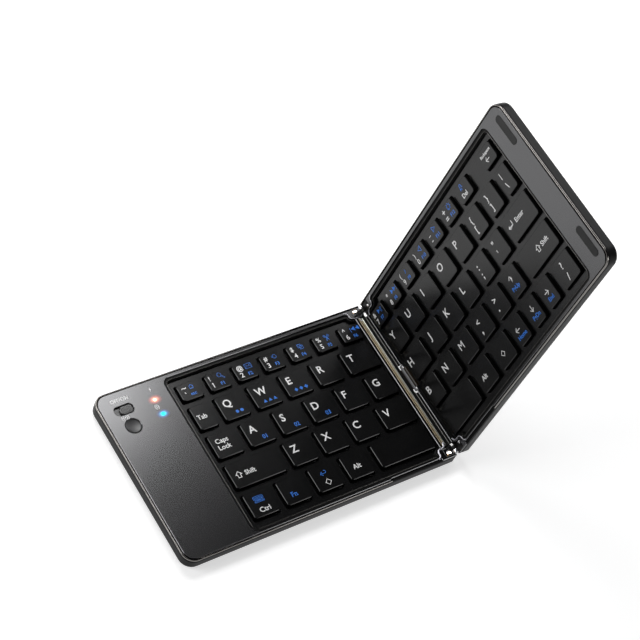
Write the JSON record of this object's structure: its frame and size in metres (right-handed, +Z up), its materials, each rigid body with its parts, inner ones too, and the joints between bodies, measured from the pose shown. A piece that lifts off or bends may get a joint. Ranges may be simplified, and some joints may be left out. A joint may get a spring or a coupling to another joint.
{
  "type": "folding keyboard",
  "caption": "Pocket wireless keyboard in two hinged halves with scissor keys, power switch, pairing button and indicator lights.",
  "frame": {"origin": "middle of the bounding box in plan, on the surface under the feet, with the left half flat and the right half turned up by 83.5 degrees", "axes": "+X from the left half's outer end towards the fold, +Y away from the typist, +Z up"},
  "size_m": [0.1814, 0.095, 0.1634],
  "materials": {
    "shell": "fine matte",
    "frame": "satin, dark anodised",
    "deck": "satin",
    "keycap": "satin, fine texture",
    "membrane": "printed film",
    "backing": "mill",
    "dome_rubber": "silicone",
    "link": "moulded",
    "foot_rubber": "matt",
    "pad_rubber": "satin",
    "screw": "blackened",
    "magnet": "nickel plated",
    "hinge_metal": "polished",
    "pin_metal": "ground",
    "rail": "satin",
    "guard": "satin",
    "board": "solder mask",
    "battery": "foil pouch",
    "port": "bright",
    "switch_metal": "stamped",
    "slider": "ridged",
    "button": "dished",
    "charge_light": "clear, lit",
    "status_light": "clear, lit",
    "flex": "film"
  },
  "bodies": {
    "left_half": {"left_bottom_cover": "shell", "left_top_frame": "frame", "left_key_deck": "deck", "left_membrane": "membrane", "left_backing_plate": "backing", "left_rubber_domes": "dome_rubber", "left_scissor_links": "link", "left_feet": "foot_rubber", "left_screws": "screw", "left_magnets": "magnet", "left_hinge_leaves": "hinge_metal", "hinge_rail": "rail", "main_circuit_board": "board", "battery": "battery", "charging_port": "port", "power_switch_body": "switch_metal", "charge_light_pipe": "charge_light", "status_light_pipe": "status_light", "flex_cable": "flex"},
    "right_half": {"right_bottom_cover": "shell", "right_top_frame": "frame", "right_key_deck": "deck", "right_membrane": "membrane", "right_backing_plate": "backing", "right_rubber_domes": "dome_rubber", "right_scissor_links": "link", "right_feet": "foot_rubber", "right_screws": "screw", "right_magnets": "magnet", "right_hinge_leaves": "hinge_metal", "hinge_pins": "pin_metal", "cable_guard": "guard", "bumper_pads": "pad_rubber"},
    "power_slider": {"power_slider": "slider"},
    "connect_button": {"connect_button": "button"},
    "number_keys_left": {"number_keys_left": "keycap"},
    "tab_key": {"tab_key": "keycap"},
    "letter_keys_qwer": {"letter_keys_qwer": "keycap"},
    "t_key": {"t_key": "keycap"},
    "caps_lock_key": {"caps_lock_key": "keycap"},
    "letter_keys_asdfg": {"letter_keys_asdfg": "keycap"},
    "left_shift_key": {"left_shift_key": "keycap"},
    "letter_keys_zxc": {"letter_keys_zxc": "keycap"},
    "v_key": {"v_key": "keycap"},
    "left_modifier_keys": {"left_modifier_keys": "keycap"},
    "left_space_key": {"left_space_key": "keycap"},
    "number_keys_right": {"number_keys_right": "keycap"},
    "backspace_key": {"backspace_key": "keycap"},
    "letter_keys_yuio": {"letter_keys_yuio": "keycap"},
    "bracket_keys": {"bracket_keys": "keycap"},
    "h_key": {"h_key": "keycap"},
    "home_keys_right": {"home_keys_right": "keycap"},
    "enter_key": {"enter_key": "keycap"},
    "lower_keys_right": {"lower_keys_right": "keycap"},
    "up_arrow_key": {"up_arrow_key": "keycap"},
    "right_shift_key": {"right_shift_key": "keycap"},
    "right_space_key": {"right_space_key": "keycap"},
    "right_modifier_keys": {"right_modifier_keys": "keycap"},
    "arrow_keys": {"arrow_keys": "keycap"},
    "slash_key": {"slash_key": "keycap"}
  },
  "joints": [
    {"name": "fold", "type": "hinge", "parent": "left_half", "child": "right_half", "pos_m": [0.06598, 0, 0.0077], "axis": [0, -1, 0], "range_deg": [-83.5, 96.5], "deforming": ["flex_cable"]},
    {"name": "power_slide", "type": "slide", "parent": "left_half", "child": "power_slider", "axis": [-1, 0, 0], "range_m": [0, 0.0028]},
    {"name": "connect_press", "type": "slide", "parent": "left_half", "child": "connect_button", "axis": [0, 0, -1], "range_m": [0, 0.0006], "stiffness_N_per_m": 400, "springref_m": -0.0003},
    {"name": "number_left_press", "type": "slide", "parent": "left_half", "child": "number_keys_left", "axis": [0, 0, -1], "range_m": [0, 0.0015], "stiffness_N_per_m": 300, "springref_m": -0.0003, "deforming": ["left_rubber_domes", "left_scissor_links"]},
    {"name": "tab_press", "type": "slide", "parent": "left_half", "child": "tab_key", "axis": [0, 0, -1], "range_m": [0, 0.0015], "stiffness_N_per_m": 300, "springref_m": -0.0003},
    {"name": "letter_qwer_press", "type": "slide", "parent": "left_half", "child": "letter_keys_qwer", "axis": [0, 0, -1], "range_m": [0, 0.0015], "stiffness_N_per_m": 300, "springref_m": -0.0003},
    {"name": "t_press", "type": "slide", "parent": "left_half", "child": "t_key", "axis": [0, 0, -1], "range_m": [0, 0.0015], "stiffness_N_per_m": 300, "springref_m": -0.0003},
    {"name": "caps_lock_press", "type": "slide", "parent": "left_half", "child": "caps_lock_key", "axis": [0, 0, -1], "range_m": [0, 0.0015], "stiffness_N_per_m": 300, "springref_m": -0.0003},
    {"name": "letter_asdfg_press", "type": "slide", "parent": "left_half", "child": "letter_keys_asdfg", "axis": [0, 0, -1], "range_m": [0, 0.0015], "stiffness_N_per_m": 300, "springref_m": -0.0003},
    {"name": "left_shift_press", "type": "slide", "parent": "left_half", "child": "left_shift_key", "axis": [0, 0, -1], "range_m": [0, 0.0015], "stiffness_N_per_m": 300, "springref_m": -0.0003},
    {"name": "letter_zxc_press", "type": "slide", "parent": "left_half", "child": "letter_keys_zxc", "axis": [0, 0, -1], "range_m": [0, 0.0015], "stiffness_N_per_m": 300, "springref_m": -0.0003},
    {"name": "v_press", "type": "slide", "parent": "left_half", "child": "v_key", "axis": [0, 0, -1], "range_m": [0, 0.0015], "stiffness_N_per_m": 300, "springref_m": -0.0003},
    {"name": "left_modifier_press", "type": "slide", "parent": "left_half", "child": "left_modifier_keys", "axis": [0, 0, -1], "range_m": [0, 0.0015], "stiffness_N_per_m": 300, "springref_m": -0.0003},
    {"name": "left_space_press", "type": "slide", "parent": "left_half", "child": "left_space_key", "axis": [0, 0, -1], "range_m": [0, 0.0015], "stiffness_N_per_m": 300, "springref_m": -0.0003},
    {"name": "number_right_press", "type": "slide", "parent": "right_half", "child": "number_keys_right", "axis": [0.9936, 0, -0.1132], "range_m": [0, 0.0015], "stiffness_N_per_m": 300, "springref_m": -0.0003, "deforming": ["right_rubber_domes", "right_scissor_links"]},
    {"name": "backspace_press", "type": "slide", "parent": "right_half", "child": "backspace_key", "axis": [0.9936, 0, -0.1132], "range_m": [0, 0.0015], "stiffness_N_per_m": 300, "springref_m": -0.0003},
    {"name": "letter_yuio_press", "type": "slide", "parent": "right_half", "child": "letter_keys_yuio", "axis": [0.9936, 0, -0.1132], "range_m": [0, 0.0015], "stiffness_N_per_m": 300, "springref_m": -0.0003},
    {"name": "bracket_press", "type": "slide", "parent": "right_half", "child": "bracket_keys", "axis": [0.9936, 0, -0.1132], "range_m": [0, 0.0015], "stiffness_N_per_m": 300, "springref_m": -0.0003},
    {"name": "h_press", "type": "slide", "parent": "right_half", "child": "h_key", "axis": [0.9936, 0, -0.1132], "range_m": [0, 0.0015], "stiffness_N_per_m": 300, "springref_m": -0.0003},
    {"name": "home_right_press", "type": "slide", "parent": "right_half", "child": "home_keys_right", "axis": [0.9936, 0, -0.1132], "range_m": [0, 0.0015], "stiffness_N_per_m": 300, "springref_m": -0.0003},
    {"name": "enter_press", "type": "slide", "parent": "right_half", "child": "enter_key", "axis": [0.9936, 0, -0.1132], "range_m": [0, 0.0015], "stiffness_N_per_m": 300, "springref_m": -0.0003},
    {"name": "lower_right_press", "type": "slide", "parent": "right_half", "child": "lower_keys_right", "axis": [0.9936, 0, -0.1132], "range_m": [0, 0.0015], "stiffness_N_per_m": 300, "springref_m": -0.0003},
    {"name": "up_arrow_press", "type": "slide", "parent": "right_half", "child": "up_arrow_key", "axis": [0.9936, 0, -0.1132], "range_m": [0, 0.0015], "stiffness_N_per_m": 300, "springref_m": -0.0003},
    {"name": "right_shift_press", "type": "slide", "parent": "right_half", "child": "right_shift_key", "axis": [0.9936, 0, -0.1132], "range_m": [0, 0.0015], "stiffness_N_per_m": 300, "springref_m": -0.0003},
    {"name": "right_space_press", "type": "slide", "parent": "right_half", "child": "right_space_key", "axis": [0.9936, 0, -0.1132], "range_m": [0, 0.0015], "stiffness_N_per_m": 300, "springref_m": -0.0003},
    {"name": "right_modifier_press", "type": "slide", "parent": "right_half", "child": "right_modifier_keys", "axis": [0.9936, 0, -0.1132], "range_m": [0, 0.0015], "stiffness_N_per_m": 300, "springref_m": -0.0003},
    {"name": "arrow_press", "type": "slide", "parent": "right_half", "child": "arrow_keys", "axis": [0.9936, 0, -0.1132], "range_m": [0, 0.0015], "stiffness_N_per_m": 300, "springref_m": -0.0003},
    {"name": "slash_press", "type": "slide", "parent": "right_half", "child": "slash_key", "axis": [0.9936, 0, -0.1132], "range_m": [0, 0.0015], "stiffness_N_per_m": 300, "springref_m": -0.0003}
  ]
}
